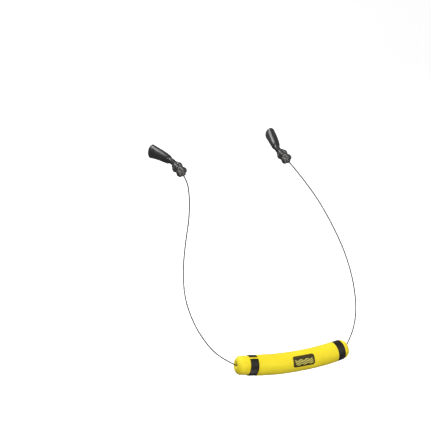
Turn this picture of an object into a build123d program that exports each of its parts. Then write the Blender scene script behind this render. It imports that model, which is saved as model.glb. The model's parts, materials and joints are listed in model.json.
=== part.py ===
from build123d import *
import math
import os

os.makedirs("parts", exist_ok=True)

# Eyeglass retainer strap, held open by the two temple tips it grips.
# Millimetres. The origin is the middle of the left grip's mouth, +X runs from
# the left ear to the right one, +Y forward to the lenses, +Z up.

# ---------------------------------------------------------------- sizes
CABLE = 1.1
CRIMP_DIAMETER = 2.2
CRIMP_LENGTH = 6.0

NECK_DIAMETER = 5.4
NECK_BORE = CRIMP_DIAMETER + 0.1
NECK_IN_GRIP = 6.0
NECK_TO_BEND = 3.5
NECK_IN_BEAD = 8.0

# The sleeve's tail stands 0.8 and 0.7 proud of the neck that it holds.
GRIP_LENGTH = 26.8
MOUTH_TALL = 13.5
MOUTH_WIDE = 9.3
TAIL_TALL = NECK_DIAMETER + 2 * 0.8
TAIL_WIDE = NECK_DIAMETER + 2 * 0.7
GRIP_RISE = 0.5
GRIP_WALL = 1.3
SOCKET_FLOOR = 2.8
SOCKET_DEPTH = GRIP_LENGTH - NECK_IN_GRIP - SOCKET_FLOOR

BEAD_LENGTH = 14.0
BEAD_DIAMETER = 10.6
BEAD_COLLAR = 1.0
LOBES = 5
LOBE_RADIUS = 2.75
LOBE_DRAW = 1.3
BEAD_HOLE = 1.5

FLOAT_DIAMETER = 18.2
FLOAT_END_DIAMETER = 16.6
FLOAT_RADIUS = 295.0
FLOAT_HALF = 10.63
FLOAT_LEAN = 40.0
FLOAT_END_FILLET = 4.5
LINER_DIAMETER = 3.0
LINER_BORE = 1.8
LINER_RECESS = 1.0

DIMPLE_DIAMETER = 4.8
DIMPLE_DEPTH = 0.6
CABLE_BREAK = 0.5

BAND_WIDTH = 7.4
BAND_THICK = 0.7
BAND_EDGE = 0.3
BAND_GAP = 18.0
BAND_L_INSET = 10.7
BAND_R_INSET = 5.9
BAND_L_GAP_AT = 152.0
BAND_R_GAP_AT = 340.0
GROOVE_DEPTH = 0.2
FIT = 0.05

BADGE_LONG = 21.0
BADGE_TALL = 10.0
BADGE_CORNER = 2.0
BADGE_THICK = 0.15
BADGE_OFFSET = 6.0
BADGE_FACING = 200.0
BADGE_SLANT = 0.22


def unit(v):
    return Vector(*v).normalized()


# ---------------------------------------------------------------- where things sit
MOUTH_L = Vector(0, 0, 0)
MOUTH_R = Vector(123.8, 0, 2.9)
GRIP_L = unit((0.210, -0.969, -0.131))
GRIP_R = unit((-0.280, -0.925, -0.256))
BEAD_L = unit((0.285, -0.772, -0.568))
BEAD_R = unit((0.276, -0.776, -0.567))

BEND_L = MOUTH_L + GRIP_L * (GRIP_LENGTH + NECK_TO_BEND)
BEND_R = MOUTH_R + GRIP_R * (GRIP_LENGTH + NECK_TO_BEND)

FLOAT_CENTRE = Vector(60.6, -149.4, -157.7)
CHORD = unit((109, -3.1, -2.9))


def along(origin, direction, up=(0, 0, 1)):
    """A plane at origin whose normal is direction and whose Y axis is as near up as it can be."""
    z = direction
    x = Vector(*up).cross(z).normalized()
    return Plane(origin=origin, x_dir=x, z_dir=z)


# ---------------------------------------------------------------- temple grip
def grip_section(z, inset=0.0):
    """The oval sleeve's section at a distance from the mouth. It draws in early, stays full along
    its tail and ends in a shoulder, and its middle rises a little above the sleeve's axis."""
    t = max(0.0, z) / GRIP_LENGTH
    drop = 0.68 * (1 - (1 - t) ** 2) + 0.32 * t**8
    tall = MOUTH_TALL + (TAIL_TALL - MOUTH_TALL) * drop
    wide = MOUTH_WIDE + (TAIL_WIDE - MOUTH_WIDE) * t**3.5
    oval = Ellipse(wide / 2 - inset, tall / 2 - inset)
    return Plane.XY.offset(z) * Pos(0, 4 * GRIP_RISE * t * (1 - t)) * oval


def temple_grip(mouth, direction):
    body = loft([grip_section(GRIP_LENGTH * t) for t in (0, 0.2, 0.4, 0.6, 0.8, 0.92, 1)])
    rims = body.edges().sort_by(Axis.Z)
    body = fillet([rims[0]], 0.85 * GRIP_WALL)
    body = fillet([body.edges().sort_by(Axis.Z)[-1]], 0.5)
    body -= loft([grip_section(z, GRIP_WALL) for z in (-0.5, SOCKET_DEPTH / 2, SOCKET_DEPTH)])
    lift = (Align.CENTER, Align.CENTER, Align.MIN)
    tail = Cylinder(NECK_DIAMETER / 2, NECK_IN_GRIP + 1, align=lift)
    body -= Pos(0, 0, GRIP_LENGTH - NECK_IN_GRIP) * tail
    body -= Pos(0, 0, SOCKET_DEPTH - 1) * Cylinder(NECK_BORE / 2, GRIP_LENGTH - SOCKET_DEPTH, align=lift)
    return along(mouth, direction).location * body


# ---------------------------------------------------------------- neck tube
def neck_tube(bend, grip_dir, bead_dir):
    start = bend - grip_dir * (NECK_TO_BEND + NECK_IN_GRIP)
    end = bend + bead_dir * (NECK_TO_BEND + NECK_IN_BEAD)
    path = FilletPolyline(start, bend, end, radius=8.0)
    section = along(start, grip_dir) * (Circle(NECK_DIAMETER / 2) - Circle(NECK_BORE / 2))
    return sweep(section, path)


# ---------------------------------------------------------------- knot bead
def lobe(towards_waist):
    """A round lobe drawn out a little towards the bead's waist."""
    second = Pos(0.1, 0, towards_waist * LOBE_DRAW) * Sphere(LOBE_RADIUS - 0.15)
    return Sphere(LOBE_RADIUS) + second


def knot_bead(bend, direction):
    half = BEAD_LENGTH / 2
    core = Cylinder(BEAD_DIAMETER / 2 - 1.0, BEAD_LENGTH - 3.0)
    core = fillet(core.edges().filter_by(GeomType.CIRCLE), 3.0)
    reach = BEAD_DIAMETER / 2 - LOBE_RADIUS
    at = half - LOBE_RADIUS - 0.7
    for z, turn in ((-at, 0.0), (at, 180.0 / LOBES)):
        for i in range(LOBES):
            core += Rot(0, 0, turn + 360.0 / LOBES * i) * Pos(reach, 0, z) * lobe(-z / abs(z))
    lift = (Align.CENTER, Align.CENTER, Align.MIN)
    core += Pos(0, 0, -half) * Cylinder(NECK_DIAMETER / 2 + BEAD_COLLAR, 2.5, align=lift)
    core += Pos(0, 0, half - 2.5) * Cone(3.2, BEAD_HOLE / 2 + BEAD_COLLAR, 2.5, align=lift)
    bore = Cylinder(NECK_DIAMETER / 2 + FIT, NECK_IN_BEAD + 1.2, align=lift)
    core -= Pos(0, 0, -half - 1) * bore
    core -= Pos(0, 0, -half) * Cylinder(BEAD_HOLE / 2, BEAD_LENGTH + 2, align=lift)
    return along(bend + direction * (NECK_TO_BEND + half), direction).location * core


# ---------------------------------------------------------------- crimp
def cable_crimp(bend, direction):
    start = bend + direction * (NECK_TO_BEND + NECK_IN_BEAD - CRIMP_LENGTH - 0.2)
    sleeve = Cylinder(
        CRIMP_DIAMETER / 2, CRIMP_LENGTH, align=(Align.CENTER, Align.CENTER, Align.MIN)
    )
    sleeve = chamfer(sleeve.edges().filter_by(GeomType.CIRCLE), 0.15)
    sleeve -= Cylinder(CABLE / 2, CRIMP_LENGTH * 3)
    return along(start, direction).location * sleeve


# ---------------------------------------------------------------- the bent float
# It is drawn along +X with its ends bent up, and then set on the chord, leaning with the loop.
SAG = FLOAT_RADIUS * (1 - math.cos(math.radians(FLOAT_HALF)))
HALF_CHORD = FLOAT_RADIUS * math.sin(math.radians(FLOAT_HALF))
LEAN = math.radians(FLOAT_LEAN)
LOOP_UP = Vector(0, math.sin(LEAN), math.cos(LEAN))
FLOAT_UP = (LOOP_UP - CHORD * CHORD.dot(LOOP_UP)).normalized()
FLOAT_PLACE = Plane(origin=FLOAT_CENTRE, x_dir=CHORD, z_dir=FLOAT_UP).location


def degrees_of(mm):
    return math.degrees(mm / FLOAT_RADIUS)


def arc_plane(degrees):
    """The float's cross-section at an angle from its middle: X forward, Y up, Z along the float."""
    a = math.radians(degrees)
    at = (FLOAT_RADIUS * math.sin(a), 0, FLOAT_RADIUS * (1 - math.cos(a)) - SAG)
    return Plane(origin=at, x_dir=(0, 1, 0), z_dir=(math.cos(a), 0, math.sin(a)))


def bent_rod(radius, start, end):
    points = [arc_plane(a).origin for a in (start, (start + end) / 2, end)]
    return sweep(arc_plane(start) * Circle(radius), ThreePointArc(*points))


def round_edges(shape, radius):
    return shape.edges().filter_by(GeomType.CIRCLE).filter_by(lambda e: abs(e.radius - radius) < 0.01)


def ring(at, inner, outer, width):
    hoop = Cylinder(outer, width) - Cylinder(inner, width + 1)
    return arc_plane(at).location * hoop


GROOVE_FLOOR = FLOAT_END_DIAMETER / 2 - GROOVE_DEPTH
BAND_INNER = GROOVE_FLOOR + FIT
BAND_OUTER = BAND_INNER + BAND_THICK
BAND_L_AT = -FLOAT_HALF + degrees_of(BAND_L_INSET + BAND_WIDTH / 2)
BAND_R_AT = FLOAT_HALF - degrees_of(BAND_R_INSET + BAND_WIDTH / 2)


def float_foam():
    body = bent_rod(FLOAT_END_DIAMETER / 2, -FLOAT_HALF, FLOAT_HALF)
    body = fillet(round_edges(body, FLOAT_END_DIAMETER / 2), FLOAT_END_FILLET)
    middle = bent_rod(FLOAT_DIAMETER / 2, BAND_L_AT, BAND_R_AT)
    body += middle
    body -= bent_rod(LINER_DIAMETER / 2, -FLOAT_HALF - 1, FLOAT_HALF + 1)
    for at in (-FLOAT_HALF, FLOAT_HALF):
        body -= arc_plane(at).location * Cylinder(DIMPLE_DIAMETER / 2, 2 * DIMPLE_DEPTH)
    for at in (BAND_L_AT, BAND_R_AT):
        body -= ring(at, GROOVE_FLOOR, FLOAT_DIAMETER, BAND_WIDTH + 2 * FIT)
    return FLOAT_PLACE * body


def float_liner():
    reach = FLOAT_HALF - degrees_of(LINER_RECESS)
    tube = bent_rod(LINER_DIAMETER / 2, -reach, reach)
    tube -= bent_rod(LINER_BORE / 2, -FLOAT_HALF, FLOAT_HALF)
    return FLOAT_PLACE * tube


def float_cable_run():
    reach = FLOAT_HALF - degrees_of(CABLE_BREAK)
    return FLOAT_PLACE * bent_rod(CABLE / 2, -reach, reach)


def band(at, gap, gap_at):
    hoop = Cylinder(BAND_OUTER, BAND_WIDTH) - Cylinder(BAND_INNER, BAND_WIDTH + 1)
    hoop = fillet(round_edges(hoop, BAND_OUTER), BAND_EDGE)
    half_gap = BAND_OUTER * math.tan(math.radians(gap / 2))
    slot = extrude(
        Plane.XY.offset(-BAND_WIDTH) * Polygon((0, 0), (2 * BAND_OUTER, -2 * half_gap), (2 * BAND_OUTER, 2 * half_gap), align=None),
        2 * BAND_WIDTH,
    )
    hoop -= Rot(0, 0, gap_at) * slot
    return FLOAT_PLACE * arc_plane(at).location * hoop


def float_badge():
    reach = degrees_of(BADGE_LONG / 2) + 0.3
    at = degrees_of(BADGE_OFFSET)
    skin = FLOAT_DIAMETER / 2
    film = bent_rod(skin + BADGE_THICK, at - reach, at + reach)
    film -= bent_rod(skin, at - reach - 0.2, at + reach + 0.2)
    tall, slant = BADGE_TALL / 2, BADGE_SLANT * BADGE_TALL / 2
    long = BADGE_LONG / 2 - slant
    corners = ((-long - slant, tall), (long - slant, tall), (long + slant, -tall), (-long + slant, -tall))
    outline = make_face(Polyline(*corners, close=True))
    outline = fillet(outline.vertices(), BADGE_CORNER)
    outline = Plane(origin=(0, 0, 0), x_dir=(0, 0, 1), z_dir=(1, 0, 0)) * outline
    stamp = arc_plane(at).location * Rot(0, 0, BADGE_FACING) * extrude(outline, FLOAT_DIAMETER)
    return FLOAT_PLACE * (film & stamp)


# ---------------------------------------------------------------- the springy cable
# Each side leaves its crimp along the bead's axis and swings out, back and down to the float.
ROUTE_L = [
    BEND_L + BEAD_L * 6.0,
    BEND_L + BEAD_L * 21.0,
    Vector(8.5, -58.9, -30.8),
    Vector(1.1, -71.9, -45.8),
    Vector(-9.2, -84.9, -62.8),
    Vector(-18.8, -98.9, -81.3),
    Vector(-24.3, -112.4, -101.3),
    Vector(-22.4, -124.4, -120.3),
    Vector(-16.0, -134.9, -136.3),
    Vector(-6.5, -142.4, -148.8),
    FLOAT_CENTRE - CHORD * HALF_CHORD,
]
ROUTE_R = [
    BEND_R + BEAD_R * 6.0,
    BEND_R + BEAD_R * 21.0,
    Vector(127.5, -58.9, -30.8),
    Vector(134.0, -73.4, -46.8),
    Vector(139.5, -88.4, -66.8),
    Vector(143.0, -102.4, -86.3),
    Vector(143.5, -114.9, -105.3),
    Vector(141.0, -126.4, -123.8),
    Vector(135.0, -136.4, -139.3),
    Vector(125.5, -144.4, -151.8),
    FLOAT_CENTRE + CHORD * HALF_CHORD,
]


def cable_span(name, route):
    runs = [(b - a).length for a, b in zip(route[:-1], route[1:])]
    radii = []
    for i in range(1, len(route) - 1):
        turn = (route[i] - route[i - 1]).get_angle(route[i + 1] - route[i])
        radii.append(0.45 * min(runs[i - 1], runs[i]) / math.tan(math.radians(turn / 2)))
    path = FilletPolyline(*route, radius=radii)
    start = along(route[0], (route[1] - route[0]).normalized())
    tube = sweep(start * Circle(CABLE / 2), path)
    ideal = math.pi * CABLE**2 / 4 * path.length
    print(name, "length", round(path.length, 1), "volume over section x length", round(tube.volume / ideal, 4))
    print("  runs", [round(r, 1) for r in runs])
    print("  radii", [round(r, 1) for r in radii])
    return tube


# ---------------------------------------------------------------- every node
nodes = {
    "left_temple_grip": temple_grip(MOUTH_L, GRIP_L),
    "right_temple_grip": temple_grip(MOUTH_R, GRIP_R),
    "left_neck_tube": neck_tube(BEND_L, GRIP_L, BEAD_L),
    "right_neck_tube": neck_tube(BEND_R, GRIP_R, BEAD_R),
    "left_knot_bead": knot_bead(BEND_L, BEAD_L),
    "right_knot_bead": knot_bead(BEND_R, BEAD_R),
    "left_cable_crimp": cable_crimp(BEND_L, BEAD_L),
    "right_cable_crimp": cable_crimp(BEND_R, BEAD_R),
    "left_cable_span": cable_span("left_cable_span", ROUTE_L),
    "right_cable_span": cable_span("right_cable_span", ROUTE_R),
    "float_foam": float_foam(),
    "float_liner": float_liner(),
    "float_cable_run": float_cable_run(),
    "left_band": band(BAND_L_AT, BAND_GAP, BAND_L_GAP_AT),
    "right_band": band(BAND_R_AT, BAND_GAP, BAND_R_GAP_AT),
    "float_badge": float_badge(),
}
for name, shape in nodes.items():
    shape.label = name
    export_step(shape, f"parts/{name}.step")

for name, v in {
    "left bend": BEND_L,
    "right bend": BEND_R,
    "left float hole": ROUTE_L[-1],
    "right float hole": ROUTE_R[-1],
    "left band centre": (FLOAT_PLACE * arc_plane(BAND_L_AT).location).position,
    "right band centre": (FLOAT_PLACE * arc_plane(BAND_R_AT).location).position,
}.items():
    print(name, [round(c, 3) for c in (v.X, v.Y, v.Z)])
for name, at in (("left band axis", BAND_L_AT), ("right band axis", BAND_R_AT)):
    z = Plane(FLOAT_PLACE * arc_plane(at).location).z_dir
    print(name, [round(c, 5) for c in (z.X, z.Y, z.Z)])
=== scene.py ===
# %% [markdown]
# # An eyeglass retainer strap
# Two oval rubber grips slip over the temple tips of a pair of eyeglasses. A short rubber neck
# and a knotted bead lead from each grip to a thin coated steel cable, which springs out and
# down behind the head and carries a bent foam float. The fixed frame gives every place, so
# each piece is modelled where it sits, in metres: +X to the wearer's right ear, +Y forward,
# +Z up.

import json
import math

import bmesh
import bpy
from mathutils import Matrix, Vector, noise


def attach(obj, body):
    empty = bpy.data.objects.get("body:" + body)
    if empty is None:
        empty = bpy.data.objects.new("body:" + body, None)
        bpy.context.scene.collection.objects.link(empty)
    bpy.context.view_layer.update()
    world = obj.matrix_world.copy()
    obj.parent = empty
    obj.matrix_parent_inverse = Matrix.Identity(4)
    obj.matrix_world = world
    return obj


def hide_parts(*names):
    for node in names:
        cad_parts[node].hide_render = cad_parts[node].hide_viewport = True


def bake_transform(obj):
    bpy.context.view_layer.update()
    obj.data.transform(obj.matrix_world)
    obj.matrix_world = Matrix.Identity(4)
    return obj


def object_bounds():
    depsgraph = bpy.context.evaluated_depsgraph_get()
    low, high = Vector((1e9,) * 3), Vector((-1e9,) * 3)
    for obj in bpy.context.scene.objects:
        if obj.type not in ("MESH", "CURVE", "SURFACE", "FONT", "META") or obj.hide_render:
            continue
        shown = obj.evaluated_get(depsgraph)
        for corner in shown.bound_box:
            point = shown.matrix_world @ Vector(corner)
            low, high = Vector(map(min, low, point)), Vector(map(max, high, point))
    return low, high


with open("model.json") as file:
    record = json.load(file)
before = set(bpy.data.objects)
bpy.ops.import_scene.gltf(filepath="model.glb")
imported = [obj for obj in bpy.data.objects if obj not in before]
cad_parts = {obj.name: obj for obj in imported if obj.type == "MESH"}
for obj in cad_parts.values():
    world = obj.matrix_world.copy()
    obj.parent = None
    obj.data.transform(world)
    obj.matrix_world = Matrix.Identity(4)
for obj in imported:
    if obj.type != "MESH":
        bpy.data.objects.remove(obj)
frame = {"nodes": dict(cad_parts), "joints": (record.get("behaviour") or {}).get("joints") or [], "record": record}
cad_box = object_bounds()
MM = 0.001
joints = {j["name"]: j for j in frame["joints"]}
mounts = {m["name"]: m for m in frame["record"]["mounts"]}
print("joints:", sorted(joints))

# %% [markdown]
# ## Local frames
# A grip, a bead and the float are each easiest to draw standing on their own axis. A local
# frame is then a matrix that carries the finished mesh to its place in the world.


# %% Local frames from a point and a direction
def stand(at, along, up=(0, 0, 1)):
    """Z runs along the piece, Y is as near up as it can be and X points to the side."""
    z = Vector(along).normalized()
    x = Vector(up).cross(z).normalized()
    y = z.cross(x)
    return Matrix.Translation(at) @ Matrix((x, y, z)).transposed().to_4x4()


SIDES = ("left", "right")
mouth = {s: Vector(mounts[f"{s}_temple_socket"]["pos_m"]) for s in SIDES}
grip_way = {s: -Vector(mounts[f"{s}_temple_socket"]["axis"]).normalized() for s in SIDES}
bend_at = {s: Vector(joints[f"{s}_bead_turn"]["pos_m"]) for s in SIDES}
bead_way = {s: Vector(joints[f"{s}_bead_turn"]["axis"]).normalized() for s in SIDES}
chord = Vector(joints["float_spin"]["axis"]).normalized()
FLOAT_R = 295 * MM
FLOAT_HALF = math.radians(10.63)
LEAN = math.radians(40)  # the hanging loop, and the float's bend with it, lean this far forward
LOOP_UP = (0, math.sin(LEAN), math.cos(LEAN))
half_chord = FLOAT_R * math.sin(FLOAT_HALF)
sag = FLOAT_R * (1 - math.cos(FLOAT_HALF))
float_end = {"left": Vector(joints["float_spin"]["pos_m"])}
float_end["right"] = float_end["left"] + 2 * half_chord * chord
float_mid = (float_end["left"] + float_end["right"]) / 2
print("grip length to bend, mm:", [round((bend_at[s] - mouth[s]).length / MM, 1) for s in SIDES])
print("float ends, mm:", [[round(c / MM, 1) for c in float_end[s]] for s in SIDES])

# %% [markdown]
# ## Camera
# The strap is seen from behind the wearer's left shoulder and a little above, through a
# long lens, so the far grip is hardly smaller than the near one.

# %% Camera behind, left and above
AIM = Vector((0.0441, -0.0392, -0.0561))
azimuth, elevation, distance = math.radians(-28), math.radians(16), 1.3
back = Vector(
    (
        math.sin(azimuth) * math.cos(elevation),
        -math.cos(azimuth) * math.cos(elevation),
        math.sin(elevation),
    )
)
camera = bpy.data.objects.new("camera", bpy.data.cameras.new("camera"))
bpy.context.scene.collection.objects.link(camera)
camera.data.lens = 120
camera.data.sensor_width = 36
camera.data.clip_end = 20
camera.location = AIM + back * distance
camera.rotation_euler = back.to_track_quat("Z", "Y").to_euler()
bpy.context.scene.camera = camera
print("camera at, m:", [round(c, 3) for c in camera.location])

# %% [markdown]
# ## The cable
# The cable is a coated steel rope just over a millimetre thick. It is stiff enough to hold its
# own sweep: it leaves each bead in line with the bead, swings outwards around the head and
# comes back in to the float's ends. A NURBS curve draws that well, because a few listed
# points where the curve changes give one smooth line.

# %% The two sweeps
CABLE = 1.1 * MM
BEAD_FRONT, BEAD_LONG = 3.5 * MM, 14.0 * MM
CABLE_START, CABLE_LEAD = 6 * MM, 21.0 * MM  # from the neck's bend, in line with the bead
SWEEP = {
    "left": [
        (0.0085, -0.0589, -0.0308),
        (0.0011, -0.0719, -0.0458),
        (-0.0092, -0.0849, -0.0628),
        (-0.0188, -0.0989, -0.0813),
        (-0.0243, -0.1124, -0.1013),
        (-0.0224, -0.1244, -0.1203),
        (-0.0160, -0.1349, -0.1363),
        (-0.0065, -0.1424, -0.1488),
    ],
    "right": [
        (0.1275, -0.0589, -0.0308),
        (0.1340, -0.0734, -0.0468),
        (0.1395, -0.0884, -0.0668),
        (0.1430, -0.1024, -0.0863),
        (0.1435, -0.1149, -0.1053),
        (0.1410, -0.1264, -0.1238),
        (0.1350, -0.1364, -0.1393),
        (0.1255, -0.1444, -0.1518),
    ],
}


def sweep_line(side):
    """The points of the side's NURBS line, from inside the bead to the float's hole."""
    start = bend_at[side] + bead_way[side] * CABLE_START
    lead = bend_at[side] + bead_way[side] * CABLE_LEAD
    route = [start, lead, *map(Vector, SWEEP[side]), float_end[side]]
    curve = bpy.data.curves.new("sweep", "CURVE")
    curve.dimensions = "3D"
    curve.resolution_u = 14
    spline = curve.splines.new("NURBS")
    spline.points.add(len(route) - 1)
    for point, at in zip(spline.points, route):
        point.co = (*at, 1)
    spline.order_u = 3
    spline.use_endpoint_u = True
    line = bpy.data.objects.new("sweep", curve)
    mesh = bpy.data.meshes.new_from_object(line)
    points = [v.co.copy() for v in mesh.vertices]
    bpy.data.objects.remove(line)
    bpy.data.meshes.remove(mesh)
    return points


# %% [markdown]
# A ring of edges is carried along each line. At every point it turns only as much as the
# line turns, so the tube doesn't twist. The ring's vertices remember where they are around
# the cable, and that gives UVs: distance along in millimetres, and part of a turn.


# %% A tube along a line
def tube(points, radius, sides=14):
    bm = bmesh.new()
    around = bm.verts.layers.float.new("around")
    along = bm.verts.layers.float.new("along")
    ring = bmesh.ops.create_circle(bm, segments=sides, radius=radius)["verts"]
    for vert in ring:
        vert[around] = (math.atan2(vert.co.y, vert.co.x) / (2 * math.pi)) % 1.0
    way = (points[1] - points[0]).normalized()
    turn = Vector((0, 0, 1)).rotation_difference(way).to_matrix().to_4x4()
    bmesh.ops.transform(bm, matrix=Matrix.Translation(points[0]) @ turn, verts=ring)
    edges = ends = list({e for v in ring for e in v.link_edges})
    gone = 0.0
    for i in range(1, len(points)):
        made = bmesh.ops.extrude_edge_only(bm, edges=edges)["geom"]
        ring = [g for g in made if isinstance(g, bmesh.types.BMVert)]
        inside = set(ring)
        edges = [
            g for g in made if isinstance(g, bmesh.types.BMEdge) and set(g.verts) <= inside
        ]
        here, before = points[i], points[i - 1]
        next_way = (points[min(i + 1, len(points) - 1)] - before).normalized()
        bend_by = way.rotation_difference(next_way).to_matrix().to_4x4()
        move = Matrix.Translation(here) @ bend_by @ Matrix.Translation(-before)
        bmesh.ops.transform(bm, matrix=move, verts=ring)
        gone += (here - before).length
        for vert in ring:
            vert[along] = gone / MM
        way = next_way
    for rim in (ends, edges):
        bmesh.ops.holes_fill(bm, edges=rim, sides=sides)
    bmesh.ops.recalc_face_normals(bm, faces=bm.faces)
    uv = bm.loops.layers.uv.new("lay")
    for face in bm.faces:
        seam = max(v[around] for v in face.verts) > 0.7
        for corner in face.loops:
            part = corner.vert[around]
            corner[uv].uv = (corner.vert[along], part + (1.0 if seam and part < 0.3 else 0.0))
    return bm


# %% The two free spans
def cable_span(side):
    points = sweep_line(side)
    bm = tube(points, CABLE / 2)
    mesh = bpy.data.meshes.new(f"{side}_cable")
    bm.to_mesh(mesh)
    bm.free()
    for face in mesh.polygons:
        face.use_smooth = True
    piece = bpy.data.objects.new(f"{side}_cable", mesh)
    bpy.context.scene.collection.objects.link(piece)
    long = sum((b - a).length for a, b in zip(points, points[1:]))
    print(side, "cable mm:", round(long / MM, 1), "points:", len(points))
    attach(piece, "strap")
    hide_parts(f"{side}_cable_span")
    return piece


cables = {s: cable_span(s) for s in SIDES}

# %% [markdown]
# ## Shader arithmetic
# A finish is a sum of small effects: a base colour, a little mottling, a fine bump. Written
# as node links that is hard to read, so a socket gets a wrapper that understands +, -, * and
# /, and a finish gets one method that makes any other node.


# %% A socket that does arithmetic, and a finish that makes nodes
class Wire:
    def __init__(self, finish, socket):
        self.finish, self.socket = finish, socket

    def math(self, operation, *others):
        return self.finish.node("Math", {"operation": operation}, [self, *others])

    def __add__(self, other):
        return self.math("ADD", other)

    def __sub__(self, other):
        return self.math("SUBTRACT", other)

    def __rsub__(self, other):
        return (self * -1) + other

    def __mul__(self, other):
        return self.math("MULTIPLY", other)

    def __truediv__(self, other):
        return self.math("DIVIDE", other)

    __radd__ = __add__
    __rmul__ = __mul__

    def clamp(self):
        return self.math("MAXIMUM", 0.0).math("MINIMUM", 1.0)

    def band(self, low, high):
        """0 below low and 1 above high, with an even slope between."""
        return ((self - low) / (high - low)).clamp()


class Finish:
    def __init__(self, name, **constants):
        self.material = bpy.data.materials.new(name)
        self.material.use_nodes = True
        self.tree = self.material.node_tree
        self.shader = next(n for n in self.tree.nodes if n.type == "BSDF_PRINCIPLED")
        for socket, value in constants.items():
            self.shader.inputs[socket.replace("_", " ")].default_value = value

    def node(self, kind, settings=None, values=(), out=0):
        made = self.tree.nodes.new("ShaderNode" + kind)
        for key, value in (settings or {}).items():
            setattr(made, key, value)
        pairs = values.items() if isinstance(values, dict) else enumerate(values)
        for key, value in pairs:
            if isinstance(value, Wire):
                self.tree.links.new(value.socket, made.inputs[key])
            else:
                made.inputs[key].default_value = value
        return Wire(self, made.outputs[out])

    def coordinates(self, **mapping):
        at = self.node("TexCoord", out="Object")
        return self.node("Mapping", {}, {"Vector": at, **mapping}) if mapping else at

    def grain(self, at, scale, detail=3.0):
        values = {"Vector": at, "Scale": scale, "Detail": detail, "Roughness": 0.55}
        return self.node("TexNoise", {}, values)

    def blend(self, factor, first, second):
        settings = {"data_type": "RGBA", "clamp_factor": True}
        return self.node("Mix", settings, {0: factor, 6: first, 7: second}, out=2)

    def bump(self, height, depth_mm, strength=1.0, under=None):
        values = {"Height": height, "Distance": depth_mm * MM, "Strength": strength}
        if under:
            values["Normal"] = under
        return self.node("Bump", {}, values)

    def set(self, **links):
        for socket, wire in links.items():
            self.tree.links.new(wire.socket, self.shader.inputs[socket.replace("_", " ")])
        return self.material


# %% [markdown]
# ## Finishes
# The rubber of the grips is moulded and slightly silky; the beads are browner and reflect
# more, so light picks out every lobe. The float is closed-cell foam: matt, with tiny cut
# cells. All patterns read object coordinates in metres, so a scale of 1000 means one
# millimetre.


# %% Moulded rubber in four tones
def rubber(name, dark, light, rough, grain_mm, depth_mm, ior=1.5):
    f = Finish(name, IOR=ior)
    at = f.coordinates()
    mottle = f.grain(at, 260).band(0.35, 0.7)
    fine = f.grain(at, 1 / (grain_mm * MM), 4.0)
    scuff = f.grain(at, 900, 5.0).band(0.62, 0.74)
    colour = f.blend(mottle * 0.7 + scuff * 0.25, (*dark, 1), (*light, 1))
    return f.set(
        Base_Color=colour,
        Roughness=mottle * 0.08 + scuff * 0.10 + rough,
        Normal=f.bump(fine, depth_mm, 0.55),
    )


grip_rubber = rubber(
    "grip_rubber", (0.020, 0.020, 0.021), (0.034, 0.034, 0.035), 0.31, 0.35, 0.03
)
neck_rubber = rubber(
    "neck_rubber", (0.018, 0.018, 0.018), (0.030, 0.030, 0.030), 0.38, 0.30, 0.02
)
bead_rubber = rubber(
    "bead_rubber", (0.026, 0.023, 0.022), (0.050, 0.045, 0.043), 0.38, 0.40, 0.015, 1.8
)
band_rubber = rubber(
    "band_rubber", (0.010, 0.007, 0.005), (0.022, 0.016, 0.011), 0.50, 0.30, 0.02, 1.4
)
print("rubbers:", [m.name for m in (grip_rubber, neck_rubber, bead_rubber, band_rubber)])


# %% Yellow closed-cell foam
def foam():
    f = Finish("foam_yellow", IOR=1.45)
    f.shader.inputs["Sheen Weight"].default_value = 0.05
    f.shader.inputs["Sheen Roughness"].default_value = 0.6
    at = f.coordinates()
    cloud = f.grain(at, 90, 2.0).band(0.3, 0.7)
    cells = f.node("TexVoronoi", {}, {"Vector": at, "Scale": 2600.0})
    pits = f.grain(at, 1500, 3.0).band(0.60, 0.72)
    deep = f.blend(cloud, (0.87, 0.680, 0.008, 1), (0.92, 0.750, 0.014, 1))
    colour = f.blend(pits * 0.25, deep, (0.68, 0.50, 0.006, 1))
    small = f.bump(cells, 0.05, 0.45)
    return f.set(
        Base_Color=colour,
        Roughness=cloud * 0.06 + 0.58,
        Normal=f.bump(1 - pits, 0.08, 0.4, small),
    )


foam_yellow = foam()


# %% Coated cable, steel crimp and the float's liner
STRANDS, LAY_TURNS = 6, 0.14  # turns of the lay per millimetre of cable


def cable_coat(lay=None):
    """Black nylon over stranded wire: the strands show through as a fine right-hand twist."""
    f = Finish("cable_coat" + ("_lay" if lay else ""), IOR=1.53)
    wear = f.grain(f.coordinates(), 700, 4.0).band(0.5, 0.8)
    colour = f.blend(wear, (0.009, 0.009, 0.009, 1), (0.022, 0.021, 0.020, 1))
    f.set(Base_Color=colour, Roughness=wear * 0.12 + 0.36)
    if lay:
        along = f.node("SeparateXYZ", {}, [f.node("UVMap", {"uv_map": lay})])
        turned = along * LAY_TURNS + Wire(f, along.socket.node.outputs[1])
        ridge = (turned * (2 * math.pi * STRANDS)).math("SINE")
        f.set(Normal=f.bump(ridge, 0.02, 0.5))
    return f.material


def crimp_steel():
    f = Finish("crimp_steel", Metallic=1.0)
    at = f.coordinates(Scale=(1.0, 0.25, 0.25))
    lines = f.grain(at, 4000, 4.0)
    colour = f.blend(lines, (0.45, 0.45, 0.46, 1), (0.66, 0.66, 0.67, 1))
    return f.set(Base_Color=colour, Roughness=lines * 0.2 + 0.2, Normal=f.bump(lines, 0.01, 0.3))


def liner_plastic():
    f = Finish("liner_clear", IOR=1.5)
    cloud = f.grain(f.coordinates(), 400)
    # Both tones are darkened as painted shade, so the bore at each end of the float reads dark; the cloud between
    # them is random tone.
    colour = f.blend(cloud, (0.34, 0.30, 0.16, 1), (0.44, 0.40, 0.24, 1))
    return f.set(Base_Color=colour, Roughness=cloud * 0.1 + 0.25)


cable_black, steel, liner_clear = cable_coat(), crimp_steel(), liner_plastic()
cable_laid = cable_coat("lay")
for piece in cables.values():
    piece.data.materials.append(cable_laid)

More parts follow.
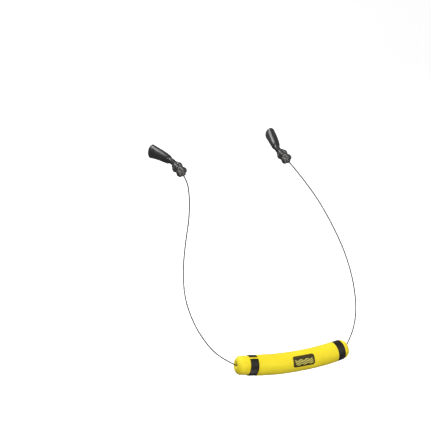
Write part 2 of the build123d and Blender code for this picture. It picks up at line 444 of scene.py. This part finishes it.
# %% [markdown]
# ## Mesh helpers
# Most pieces here are tubes whose section changes. A ring of edges, drawn out station by
# station, gives an even quad mesh that subdivides well, and two such walls bridged at their
# rims are a closed shell.


# %% Draw a ring out through stations, and finish a piece
def draw_out(bm, stations, sides):
    """Stations are (distance, half width, half height, lift). Returns the first and last rings."""
    (z, wide, tall, lift), rest = stations[0], stations[1:]
    ring = bmesh.ops.create_circle(bm, segments=sides, radius=1.0)["verts"]
    edges = first = list({e for v in ring for e in v.link_edges})
    bmesh.ops.scale(bm, verts=ring, vec=(wide, tall, 1))
    bmesh.ops.translate(bm, verts=ring, vec=(0, lift, z))
    for next_z, next_wide, next_tall, next_lift in rest:
        made = bmesh.ops.extrude_edge_only(bm, edges=edges)["geom"]
        ring = [g for g in made if isinstance(g, bmesh.types.BMVert)]
        inside = set(ring)
        edges = [
            g for g in made if isinstance(g, bmesh.types.BMEdge) and set(g.verts) <= inside
        ]
        bmesh.ops.translate(bm, verts=ring, vec=(0, -lift, -z))
        bmesh.ops.scale(bm, verts=ring, vec=(next_wide / wide, next_tall / tall, 1))
        bmesh.ops.translate(bm, verts=ring, vec=(0, next_lift, next_z))
        z, wide, tall, lift = next_z, next_wide, next_tall, next_lift
    return first, edges


def piece_from(bm, name, place, material, body, node, levels=0):
    """Closes the mesh work: outward normals, smooth faces, place in the mesh, a body to ride on."""
    bmesh.ops.recalc_face_normals(bm, faces=bm.faces)
    bm.transform(place)
    mesh = bpy.data.meshes.new(name)
    bm.to_mesh(mesh)
    bm.free()
    for face in mesh.polygons:
        face.use_smooth = True
    obj = bpy.data.objects.new(name, mesh)
    bpy.context.scene.collection.objects.link(obj)
    mesh.materials.append(material)
    if levels:
        subdivide = obj.modifiers.new("smooth", "SUBSURF")
        subdivide.levels = subdivide.render_levels = levels
    if body:
        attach(obj, body)
    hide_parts(node)
    low, high = (Vector(f(v.co[i] for v in mesh.vertices) for i in range(3)) for f in (min, max))
    print(name, "faces", len(mesh.polygons), "size mm", [round(c / MM, 1) for c in high - low])
    return obj


# %% [markdown]
# ## Temple grips
# Each grip is one rubber moulding: an oval sleeve, open at the mouth for the temple tip. Its
# wall draws in early behind the mouth, stays full along its tail and ends in a small
# shoulder. One wall is drawn from the socket's floor, out over the lip, along the outside
# and back into the tail, and then bridged to its own start, so the shell is closed.

# %% Grip sizes and the oval at any distance from the mouth
GRIP_LONG, GRIP_WALL, SOCKET_DEEP = 26.8, 1.3, 18.0
MOUTH_WIDE, MOUTH_TALL, TAIL_WIDE, TAIL_TALL, GRIP_RISE = 9.3, 13.5, 6.8, 7.0, 0.5
NECK_R, NECK_BORE_R, NECK_IN_GRIP = 2.7, 1.15, 6.0
GRIP_SIDES = 40


def oval(z, inset=0.0):
    """Half width, half height and lift, in millimetres, of the sleeve's outside less an inset."""
    t = max(0.0, z) / GRIP_LONG
    drop = 0.68 * (1 - (1 - t) ** 2) + 0.32 * t**8
    tall = MOUTH_TALL - (MOUTH_TALL - TAIL_TALL) * drop
    wide = MOUTH_WIDE - (MOUTH_WIDE - TAIL_WIDE) * t**3.5
    return wide / 2 - inset, tall / 2 - inset, 4 * GRIP_RISE * t * (1 - t)


# %% The grips
def temple_grip(side):
    # the socket's floor and inside wall, out to the lip
    floor_wide, floor_tall, floor_lift = oval(SOCKET_DEEP, GRIP_WALL)
    wall = [(SOCKET_DEEP, NECK_BORE_R, NECK_BORE_R, 0.0), (SOCKET_DEEP, 1.7, 1.9, 0.1)]
    wall += [(SOCKET_DEEP, floor_wide - 0.4, floor_tall - 0.4, floor_lift)]
    wall += [(z, *oval(z, GRIP_WALL)) for z in (SOCKET_DEEP - 0.4, 15.0, 11.0, 7.0, 4.0, 2.0, 1.2)]
    # the round lip
    for step in range(9):
        turn = math.radians(22.5 * step)
        inset = GRIP_WALL / 2 * (1 + math.cos(turn))
        wall.append((0.6 - 0.6 * math.sin(turn), *oval(0.6, inset)))
    # the outside, with a shallow waist behind the lip and a shoulder at the tail
    wall += [(z, *oval(z, inset)) for z, inset in ((1.3, 0.0), (2.4, 0.10), (3.4, 0.03))]
    wall += [(z, *oval(z)) for z in (5.0, 8.0, 11.0, 14.0, 17.0, 20.0, 22.5, 24.3)]
    wall += [(z, *oval(z, inset)) for z, inset in ((25.4, 0.10), (26.1, 0.28), (26.5, 0.45))]
    # back into the tail, round the neck tube, and through the floor to the start
    wall += [(GRIP_LONG - 0.08, 2.92, 2.96, 0.0), (GRIP_LONG - 0.1, 2.75, 2.75, 0.0)]
    wall += [(GRIP_LONG - z, NECK_R + 0.01, NECK_R + 0.01, 0.0) for z in (0.5, 3.0, 5.8)]
    wall += [(GRIP_LONG - NECK_IN_GRIP, r, r, 0.0) for r in (2.55, 1.35)]
    wall += [(GRIP_LONG - z, NECK_BORE_R, NECK_BORE_R, 0.0) for z in (6.3, 8.4)]
    bm = bmesh.new()
    first, last = draw_out(bm, [tuple(c * MM for c in station) for station in wall], GRIP_SIDES)
    bmesh.ops.bridge_loops(bm, edges=first + last)
    return piece_from(
        bm,
        f"{side}_grip",
        stand(mouth[side], grip_way[side]),
        grip_rubber,
        "temple_grips",
        f"{side}_temple_grip",
        levels=2,
    )


for side in SIDES:
    temple_grip(side)

# %% [markdown]
# ## Neck tubes
# A soft tube joins grip and bead and bends where the strap turns down. A ring is extruded
# along the first straight part, turned step by step about the bend's centre, and extruded
# along the second, so the bend is a true arc.

# %% A bent tube with a bore
NECK_BACK, NECK_ON, NECK_ARC = 9.3 * MM, 11.3 * MM, 8.0 * MM  # from the corner, and the radius
NECK_STEPS, NECK_SIDES = 6, 32


def neck_tube(side):
    inward, outward, corner = grip_way[side], bead_way[side], bend_at[side]
    turn = inward.angle(outward)
    hinge = inward.cross(outward).normalized()
    reach = NECK_ARC * math.tan(turn / 2)
    centre = corner - inward * reach + hinge.cross(inward) * NECK_ARC
    start = corner - inward * NECK_BACK
    legs = ((inward, NECK_BACK - reach), (None, turn), (outward, NECK_ON - reach))
    bm = bmesh.new()
    rims = []
    for radius in (NECK_R * MM, NECK_BORE_R * MM):
        ring = bmesh.ops.create_circle(bm, segments=NECK_SIDES, radius=radius)["verts"]
        bmesh.ops.transform(bm, matrix=stand(start, inward), verts=ring)
        edges = list({e for v in ring for e in v.link_edges})
        rims.append(list(edges))
        for way, long in legs:
            for _ in range(NECK_STEPS):
                made = bmesh.ops.extrude_edge_only(bm, edges=edges)["geom"]
                moved = {g for g in made if isinstance(g, bmesh.types.BMVert)}
                edges = [
                    g for g in made if isinstance(g, bmesh.types.BMEdge) and set(g.verts) <= moved
                ]
                if way:
                    bmesh.ops.translate(bm, verts=list(moved), vec=way * (long / NECK_STEPS))
                else:
                    rotate = Matrix.Rotation(long / NECK_STEPS, 3, hinge)
                    bmesh.ops.rotate(bm, verts=list(moved), cent=centre, matrix=rotate)
        rims.append(list(edges))
    bmesh.ops.bridge_loops(bm, edges=rims[0] + rims[2])
    bmesh.ops.bridge_loops(bm, edges=rims[1] + rims[3])
    neck = piece_from(
        bm,
        f"{side}_neck",
        Matrix.Identity(4),
        neck_rubber,
        None,
        f"{side}_neck_tube",
    )
    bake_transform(neck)


for side in SIDES:
    neck_tube(side)

# %% [markdown]
# ## Knot beads
# Where the cable is gripped there is a rubber bead moulded like a tight cord knot: two rings
# of rounded lobes, each lobe of one ring between two of the other. Spheres crossed together
# make the lobes, a voxel remesh welds them into one skin, and a light smoothing fills the
# creases as moulding would. A boolean then cuts the bore for the tube and the cable's hole.


# %% Bead skin, then its bores
def applied(obj):
    """Puts the object's modifiers into its mesh."""
    graph = bpy.context.evaluated_depsgraph_get()
    mesh = bpy.data.meshes.new_from_object(obj.evaluated_get(graph))
    obj.modifiers.clear()
    old, obj.data = obj.data, mesh
    bpy.data.meshes.remove(old)


def rod(bm, radius, low, high, cone=None):
    made = bmesh.ops.create_cone(
        bm,
        cap_ends=True,
        segments=32,
        radius1=radius,
        radius2=radius if cone is None else cone,
        depth=high - low,
    )
    bmesh.ops.translate(bm, verts=made["verts"], vec=(0, 0, (low + high) / 2))


def temporary(bm, name):
    mesh = bpy.data.meshes.new(name)
    bm.to_mesh(mesh)
    bm.free()
    obj = bpy.data.objects.new(name, mesh)
    bpy.context.scene.collection.objects.link(obj)
    return obj


LOBES, LOBE_R, LOBE_STRETCH = 5, 2.75 * MM, 1.15
# each ring of lobes: its place along the bead, its reach from the axis and its turn in lobes
LOBE_RINGS = ((-2.75 * MM, 2.6 * MM, 0.0), (2.75 * MM, 2.55 * MM, 0.5))
BEAD_CORE_R, CORE_STRETCH, SKIN_CELL = 4.3 * MM, 1.40, 0.22 * MM


def knot_bead(side):
    skin = bmesh.new()
    core = bmesh.ops.create_uvsphere(skin, u_segments=32, v_segments=20, radius=BEAD_CORE_R)
    bmesh.ops.scale(skin, verts=core["verts"], vec=(1, 1, CORE_STRETCH))
    for z, reach, turn in LOBE_RINGS:
        for i in range(LOBES):
            angle = 2 * math.pi * (i + turn) / LOBES
            lobe = bmesh.ops.create_icosphere(skin, subdivisions=4, radius=LOBE_R)["verts"]
            bmesh.ops.scale(skin, verts=lobe, vec=(1.0, 1.0, LOBE_STRETCH))
            bmesh.ops.translate(
                skin, verts=lobe, vec=(reach * math.cos(angle), reach * math.sin(angle), z)
            )
    rod(skin, 3.7 * MM, -7.0 * MM, -5.0 * MM)
    rod(skin, 2.6 * MM, 5.0 * MM, 7.0 * MM, 1.8 * MM)
    work = temporary(skin, "bead_work")
    remesh = work.modifiers.new("weld", "REMESH")
    remesh.mode, remesh.voxel_size = "VOXEL", SKIN_CELL
    smooth = work.modifiers.new("soften", "SMOOTH")
    smooth.factor, smooth.iterations = 0.5, 4
    applied(work)
    cutter_mesh = bmesh.new()
    rod(cutter_mesh, 2.75 * MM, -8.0 * MM, 1.2 * MM)
    rod(cutter_mesh, 0.75 * MM, 0.0, 9.0 * MM)
    cutter = temporary(cutter_mesh, "bead_cutter")
    cut = work.modifiers.new("bores", "BOOLEAN")
    cut.operation, cut.solver, cut.object, cut.use_self = "DIFFERENCE", "EXACT", cutter, True
    applied(work)
    bm = bmesh.new()
    bm.from_mesh(work.data)
    for old in (work, cutter):
        bpy.data.objects.remove(old)
    centre = bend_at[side] + bead_way[side] * (BEAD_FRONT + BEAD_LONG / 2)
    return piece_from(
        bm,
        f"{side}_bead",
        stand(centre, bead_way[side]),
        bead_rubber,
        f"{side}_bead",
        f"{side}_knot_bead",
    )


for side in SIDES:
    knot_bead(side)

# %% [markdown]
# ## The float
# The float is a foam rod, cut with round shoulders and a puckered hole at each end where the
# cable passes through. Two bands pinch it, so the foam swells a little beside them. Its outline
# is spun about the rod's axis while it is still straight; then every point is carried round
# the float's long arc, ends up.

# %% Bending from straight to the float's arc
float_place = stand(float_mid, chord, LOOP_UP)
side_way = float_place.col[0].to_3d()


def bent(point):
    """A point of the straight float, Z along it and Y up, carried round the arc."""
    angle = point.z / FLOAT_R
    radius = FLOAT_R - point.y
    return Vector(
        (point.x, FLOAT_R - sag - radius * math.cos(angle), radius * math.sin(angle))
    )


def bend(bm):
    for vert in bm.verts:
        vert.co = bent(vert.co)


# %% [markdown]
# The outline runs from the bore's left rim over the face and shoulder, along the body with
# its two grooves, to the right rim. It is listed as distances and radii in millimetres.

# %% The foam body
FOAM_R, END_R, FOAM_HALF, SHOULDER = 9.1, 8.3, FLOAT_R * FLOAT_HALF / MM, 4.5
BAND_WIDE, FLOOR_R = 7.4, 8.1
band_mid = {"left": -FOAM_HALF + 10.7 + BAND_WIDE / 2, "right": FOAM_HALF - 5.9 - BAND_WIDE / 2}


def end_outline():
    """From the bore to the shoulder's end, as (depth in from the end plane, radius)."""
    outline = [(6.0, 1.5), (2.5, 1.5), (1.2, 1.52), (0.85, 1.66), (0.62, 1.95), (0.42, 2.35)]
    outline += [(0.18, 2.85), (0.04, 3.3), (0.0, END_R - SHOULDER)]
    for i in range(1, 11):
        a = math.radians(9 * i)
        outline.append((SHOULDER * (1 - math.cos(a)), END_R - SHOULDER + SHOULDER * math.sin(a)))
    return outline


def groove_outline(middle, inward):
    """The foam is slimmer outside a band, swells on both sides of it and drops under it."""
    half = BAND_WIDE / 2 + 0.05
    rise = [(2.6, 0.0), (1.5, 0.05), (0.8, 0.10), (0.35, 0.09), (0.1, 0.0), (0.0, -0.12)]
    sides = {-1: END_R, 1: FOAM_R - 0.05}
    left = [(middle - half - d, sides[-inward] + up) for d, up in rise]
    floor = [(middle + x, FLOOR_R) for x in (-half, -half + 0.3, 0.0, half - 0.3, half)]
    right = [(middle + half + d, sides[inward] + up) for d, up in reversed(rise)]
    return left + floor + right


def foam_outline():
    left = [(-FOAM_HALF + depth, radius) for depth, radius in end_outline()]
    first, second = groove_outline(band_mid["left"], 1), groove_outline(band_mid["right"], -1)
    right = [(FOAM_HALF - depth, radius) for depth, radius in reversed(end_outline())]
    gap = second[0][0] - first[-1][0]
    between = [(first[-1][0] + gap * i / 24, FOAM_R) for i in range(1, 24)]
    lead = [(-FOAM_HALF + 6.2, END_R)]
    while right[0][0] < second[-1][0] + 0.05:
        right.pop(0)
    return left + lead + first + between + second + right


def float_foam():
    bm = bmesh.new()
    outline = foam_outline()
    inner = [(FOAM_HALF - 6.0 - (2 * FOAM_HALF - 12.0) * i / 20, 1.5) for i in range(1, 20)]
    loop = [bm.verts.new((radius * MM, 0, z * MM)) for z, radius in outline + inner]
    edges = [bm.edges.new((a, b)) for a, b in zip(loop, loop[1:] + loop[:1])]
    bmesh.ops.spin(
        bm,
        geom=loop + edges,
        cent=(0, 0, 0),
        axis=(0, 0, 1),
        angle=2 * math.pi,
        steps=64,
        use_merge=True,
    )
    for vert in bm.verts:
        out = Vector((vert.co.x, vert.co.y, 0))
        if out.length > 6 * MM and abs(vert.co.z) < FOAM_HALF * MM - 1 * MM:
            vert.co += out.normalized() * noise.noise(vert.co * 90) * 0.09 * MM
    bend(bm)
    return piece_from(
        bm, "foam_body", float_place, foam_yellow, "float", "float_foam", levels=1
    )


foam_body = float_foam()

# %% [markdown]
# ## Bands
# Each band is a split rubber ring that sits in its groove. Its section, with soft outer
# corners, is spun nearly all the way round and closed at both ends of the split. The two
# splits sit at different turns, because the bands can be turned by hand.

# %% Split rings
BAND_INNER, BAND_THICK, SPLIT = FLOOR_R + 0.05, 0.7, math.radians(18)
SPLIT_AT = {"left": math.radians(152), "right": math.radians(340)}


def split_band(side):
    joint = joints[f"{side}_band_turn"]
    place = stand(Vector(joint["pos_m"]), joint["axis"], LOOP_UP)
    half, inner, outer, soft = BAND_WIDE / 2, BAND_INNER, BAND_INNER + BAND_THICK, 0.3
    section = [(-half, inner), (-half, outer - soft)]
    for i in range(1, 5):
        a = math.radians(22.5 * i)
        section.append((-half + soft * (1 - math.cos(a)), outer - soft + soft * math.sin(a)))
    section += [(-half + 1.6, outer + 0.03), (0, outer + 0.05)]
    section += [(-z, r) for z, r in reversed(section[:-1])]
    bm = bmesh.new()
    turn = SPLIT_AT[side] - (math.pi - SPLIT) / 2
    ring = [bm.verts.new((0, r * MM, z * MM)) for z, r in section]
    face = bm.faces.new(ring)
    made = bmesh.ops.spin(
        bm,
        geom=[face],
        cent=(0, 0, 0),
        axis=(0, 0, 1),
        angle=2 * math.pi - SPLIT,
        steps=96,
        use_merge=False,
    )
    bmesh.ops.rotate(
        bm, verts=bm.verts, cent=(0, 0, 0), matrix=Matrix.Rotation(turn, 3, "Z")
    )
    return piece_from(
        bm, f"{side}_split_band", place, band_rubber, f"{side}_band", f"{side}_band"
    )


for side in SIDES:
    split_band(side)

# %% [markdown]
# ## The printed panel
# A thin dark film lies on the foam, facing the wearer's back. It carries plain wave lines.
# The panel starts as four corners, rounded and cut into strips fine enough to wrap round
# the float. The waves slant a little against the panel's short sides.


# %% Wave print
def wave_print():
    f = Finish("badge_print", IOR=1.38)
    at = f.node("UVMap", {"uv_map": "panel"})
    across = f.node("SeparateXYZ", {}, [at])
    up = Wire(f, across.socket.node.outputs[1])
    ripple = (across * (2 * math.pi * 3.5)).math("SINE") * 0.055
    lines = None
    for middle in (0.24, 0.40, 0.56):
        near = 1 - (up - ripple - middle).math("ABSOLUTE").band(0.034, 0.052)
        lines = near if lines is None else lines.math("MAXIMUM", near)
    inset = (across - 0.5).math("ABSOLUTE").band(0.395, 0.415)
    lines = lines * (1 - inset)
    mottle = f.grain(f.coordinates(), 1200, 4.0)
    dark = f.blend(mottle, (0.026, 0.017, 0.003, 1), (0.070, 0.050, 0.010, 1))
    colour = f.blend(lines, dark, (0.62, 0.56, 0.12, 1))
    return f.set(
        Base_Color=colour, Roughness=mottle * 0.15 + 0.52, Normal=f.bump(mottle, 0.02, 0.3)
    )


# %% The panel wrapped on the float
PANEL_LONG, PANEL_TALL, PANEL_AT, PANEL_FACING = 21.0, 10.0, 6.0, math.radians(200)
PANEL_CORNER, PANEL_CELL, FILM, SLANT = 2.0 * MM, 0.5 * MM, 0.13 * MM, 0.22


def printed_panel():
    bm = bmesh.new()
    long, tall = PANEL_LONG * MM / 2, PANEL_TALL * MM / 2
    outline = ((-long, -tall), (long, -tall), (long, tall), (-long, tall))
    corners = [bm.verts.new((x, y, 0)) for x, y in outline]
    bm.faces.new(corners)
    bmesh.ops.bevel(
        bm,
        geom=corners,
        offset=PANEL_CORNER,
        segments=6,
        profile=0.5,
        affect="VERTICES",
        material=-1,
    )
    for axis, reach in (((1, 0, 0), long), ((0, 1, 0), tall)):
        for i in range(1, int(2 * reach / PANEL_CELL)):
            bmesh.ops.bisect_plane(
                bm,
                geom=list(bm.verts) + list(bm.edges) + list(bm.faces),
                plane_co=Vector(axis) * (-reach + i * PANEL_CELL),
                plane_no=axis,
            )
    uv = bm.loops.layers.uv.new("panel")
    for face in bm.faces:
        for corner in face.loops:
            x, y = corner.vert.co.x + SLANT * corner.vert.co.y, corner.vert.co.y
            corner[uv].uv = (x / (2 * long) + 0.5, y / (2 * tall) + 0.5)
    skin = (FOAM_R + 0.02) * MM
    for vert in bm.verts:
        x, y = vert.co.x, vert.co.y
        angle = PANEL_FACING - y / skin
        vert.co = bent(
            Vector((side_sign * skin * math.cos(angle), skin * math.sin(angle), x + PANEL_AT * MM))
        )
    obj = piece_from(
        bm, "printed_panel", float_place, wave_print(), "float", "float_badge"
    )
    film = obj.modifiers.new("film", "SOLIDIFY")
    film.thickness, film.offset = FILM, 1.0


side_sign = 1.0 if side_way.y > 0 else -1.0
printed_panel()

# %% [markdown]
# ## Pieces kept from the frame
# The crimps, the liner and the cable inside the float are plain turned and drawn parts, and
# their fixed shapes are right as they are, so they only get their finishes.

# %% Finish the inner pieces
for name, material in {
    "left_cable_crimp": steel,
    "right_cable_crimp": steel,
    "float_liner": liner_clear,
    "float_cable_run": cable_black,
}.items():
    slots = frame["nodes"][name].data.materials
    slots.clear()
    slots.append(material)
    print(name, "is finished with", material.name)


# %% [markdown]
# ## Studio
# The strap hangs from the eyeglasses' temples, so the pale floor lies well below it and
# sweeps up into a wall. The floor glows a little by itself and doesn't show in reflections,
# so that dark rubber keeps its dark edges against it. The key lamp, large and soft, stands
# to the left behind the camera. One beyond the strap lays a long highlight on the grips, a
# weak one fills the right side, and one from below lifts the undersides.

# %% Floor and wall in one sweep
DROP, FLOOR_WIDE, FLOOR_LONG, FLOOR_START = 0.12, 4.0, 4.6, -3.0
SWEEP_R, WALL_TALL = 1.0, 3.0


def backdrop():
    f = Finish("backdrop", Roughness=0.9)
    f.shader.inputs["Specular IOR Level"].default_value = 0.0
    f.shader.inputs["Emission Color"].default_value = (1, 1, 1, 1)
    f.shader.inputs["Emission Strength"].default_value = 0.72
    cloud = f.grain(f.coordinates(), 3.0)
    f.set(Base_Color=f.blend(cloud, (0.78, 0.78, 0.78, 1), (0.80, 0.80, 0.80, 1)))
    bm = bmesh.new()
    floor_z = cad_box[0][2] - DROP
    middle = (0, FLOOR_START + FLOOR_LONG, floor_z + SWEEP_R)
    verts = [bm.verts.new((x, FLOOR_START, floor_z)) for x in (-FLOOR_WIDE, FLOOR_WIDE)]
    edges = [bm.edges.new(verts)]
    for step in ((0, FLOOR_LONG, 0), None, (0, 0, WALL_TALL)):
        if step:
            made = bmesh.ops.extrude_edge_only(bm, edges=edges)["geom"]
            moved = {g for g in made if isinstance(g, bmesh.types.BMVert)}
            bmesh.ops.translate(bm, verts=list(moved), vec=step)
            edges = [
                g for g in made if isinstance(g, bmesh.types.BMEdge) and set(g.verts) <= moved
            ]
        else:
            made = bmesh.ops.spin(
                bm, geom=edges, cent=middle, axis=(1, 0, 0), angle=math.pi / 2, steps=24
            )["geom_last"]
            edges = [g for g in made if isinstance(g, bmesh.types.BMEdge)]
    mesh = bpy.data.meshes.new("backdrop")
    bm.to_mesh(mesh)
    bm.free()
    for face in mesh.polygons:
        face.use_smooth = True
    mesh.materials.append(f.material)
    obj = bpy.data.objects.new("backdrop", mesh)
    bpy.context.scene.collection.objects.link(obj)
    obj.visible_glossy = obj.visible_diffuse = False
    print("floor below the strap, m:", round(cad_box[0][2] - floor_z, 3))


backdrop()


# %% Soft lamps
def lamp(name, at, size, watts):
    data = bpy.data.lights.new(name, "AREA")
    data.shape, data.size, data.energy = "DISK", size, watts
    obj = bpy.data.objects.new(name, data)
    obj.location = at
    obj.rotation_euler = (Vector(at) - AIM).to_track_quat("Z", "Y").to_euler()
    bpy.context.scene.collection.objects.link(obj)


lamp("key", (-0.75, -1.25, 1.25), 1.1, 32)
lamp("back", (-0.40, 0.95, 1.05), 0.8, 16)
lamp("fill", (0.9, -1.1, 0.3), 0.9, 5)
lamp("under", (-0.1, -0.8, -0.9), 0.7, 21)
print("lamps:", {light.name: light.energy for light in bpy.data.lights})

world = bpy.data.worlds.new("studio")
world.use_nodes = True
world.node_tree.nodes["Background"].inputs["Color"].default_value = (1, 1, 1, 1)
world.node_tree.nodes["Background"].inputs["Strength"].default_value = 0.18
bpy.context.scene.world = world
bpy.context.scene.view_settings.view_transform = "Standard"

# %% Print the CAD box and finish
print("CAD box  mm:", [[round(x / MM, 1) for x in c] for c in cad_box])
